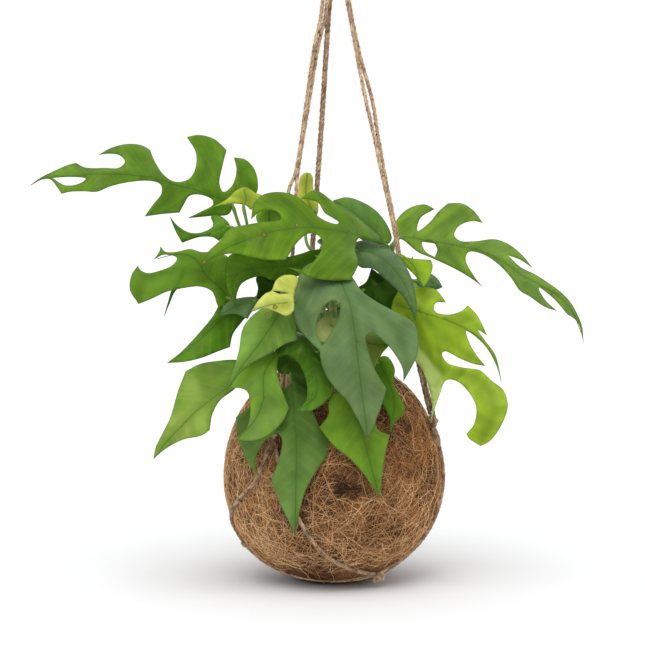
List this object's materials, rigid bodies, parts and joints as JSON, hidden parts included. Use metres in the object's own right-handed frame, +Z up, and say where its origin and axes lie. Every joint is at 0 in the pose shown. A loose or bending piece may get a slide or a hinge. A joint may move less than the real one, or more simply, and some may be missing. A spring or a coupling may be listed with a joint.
{
  "type": "hanging climber plant in a coir ball",
  "caption": "Split-leaved climbing plant growing from the open top of a coconut coir ball, in a jute cradle with three doubled cords that meet in a knot and loop.",
  "frame": {"origin": "middle of the small flat spot that the ball rests on", "axes": "+Z up along the ball's axis, -Y towards the front, +X to the right seen from the front"},
  "size_m": [0.4506, 0.2358, 0.578],
  "materials": {
    "leaf_green": "satin",
    "leaf_deep": "satin",
    "leaf_blue": "satin",
    "leaf_light": "satin",
    "leaf_yellow": "satin",
    "stem": "satin",
    "coir": "matte",
    "soil": "matte",
    "jute": "matte"
  },
  "bodies": {
    "root": {"coir_ball": "coir", "soil": "soil", "stem_left": "stem", "stem_middle": "stem", "stem_right": "stem", "stem_back": "stem", "leaf_upper_left": "leaf_green", "leaf_left_fold": "leaf_yellow", "leaf_left_small": "leaf_green", "leaf_left_middle": "leaf_green", "leaf_left_slim": "leaf_deep", "leaf_left_lower": "leaf_green", "leaf_dark_arch": "leaf_blue", "leaf_grey_underside": "leaf_blue", "leaf_yellow_curl": "leaf_yellow", "leaf_mid_left_hanging": "leaf_green", "leaf_lower_left": "leaf_green", "leaf_centre_left": "leaf_deep", "leaf_over_ball": "leaf_green", "leaf_centre_curl": "leaf_deep", "leaf_centre_right": "leaf_green", "leaf_centre_front": "leaf_blue", "leaf_right_small": "leaf_green", "leaf_top_big": "leaf_green", "leaf_behind_top": "leaf_deep", "leaf_drooping": "leaf_blue", "leaf_upper_right": "leaf_green", "leaf_right_yellow": "leaf_light", "leaf_right_bright": "leaf_light", "leaf_grey_behind": "leaf_blue", "leaf_new_upright": "leaf_yellow", "leaf_notch_bright": "leaf_yellow", "leaf_shaded_right": "leaf_deep", "leaf_olive": "leaf_light", "leaf_shaded_left": "leaf_deep", "leaf_back_over_ball": "leaf_green", "leaf_back_centre": "leaf_blue", "leaf_back_left": "leaf_deep", "leaf_back_right": "leaf_green", "leaf_back_hanging": "leaf_green", "leaf_back_upper": "leaf_green", "leaf_back_low": "leaf_green", "leaf_back_arching": "leaf_blue", "cord_left_a": "jute", "cord_left_b": "jute", "shoulder_knot_left": "jute", "cord_right_a": "jute", "cord_right_b": "jute", "shoulder_knot_right": "jute", "cord_back_a": "jute", "cord_back_b": "jute", "shoulder_knot_back": "jute", "cradle_strand_left_outer": "jute", "cradle_strand_left_front": "jute", "cradle_strand_right_front": "jute", "cradle_strand_right_back": "jute", "cradle_strand_back_right": "jute", "cradle_strand_back_left": "jute", "cradle_ring": "jute", "top_knot": "jute"}
  },
  "joints": []
}
